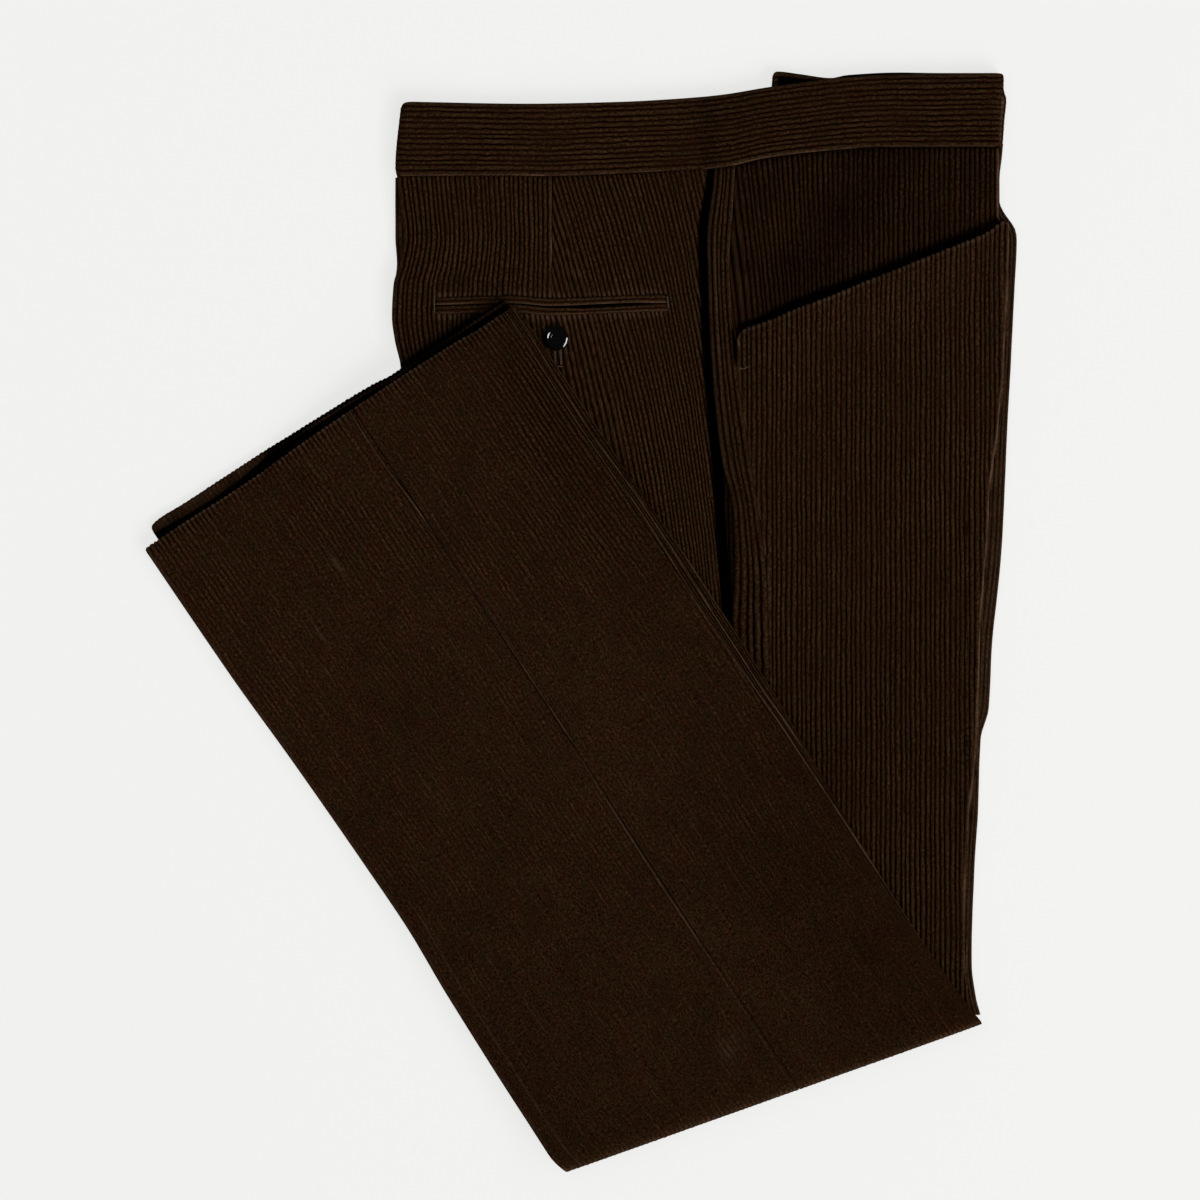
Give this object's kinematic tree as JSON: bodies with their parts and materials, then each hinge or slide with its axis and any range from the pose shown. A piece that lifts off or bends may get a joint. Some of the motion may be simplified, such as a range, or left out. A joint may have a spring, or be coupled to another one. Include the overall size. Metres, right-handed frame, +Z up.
{
  "type": "corduroy trousers, folded",
  "caption": "Brown wide-wale corduroy trousers laid on their side and folded at the knee, with a slanted front pocket and a buttoned welt back pocket.",
  "frame": {"origin": "centre of the bounding box in plan, on the surface that the trousers lie on", "axes": "+Z up off the surface, through the flat garment; +Y from the knee fold to the waistband; +X from the centre back to the front crease"},
  "size_m": [0.5222, 0.6576, 0.0221],
  "materials": {
    "corduroy": "dark chocolate brown cotton corduroy, eight to nine wales to the inch, cut pile with a soft sheen along its ribs",
    "button": "polished black polyester resin"
  },
  "bodies": {
    "root": {"waistband_near": "corduroy", "waistband_far": "corduroy", "back_panel_near": "corduroy", "pocket_facing_near": "corduroy", "front_panel_near": "corduroy", "back_pocket_welt_upper": "corduroy", "back_pocket_welt_lower": "corduroy", "back_pocket_button": "button", "back_panel_far": "corduroy", "front_panel_far": "corduroy", "lower_leg_back_far": "corduroy", "lower_leg_front_far": "corduroy", "lower_leg_hem_near": "corduroy", "hidden_layers": "corduroy"}
  },
  "joints": []
}
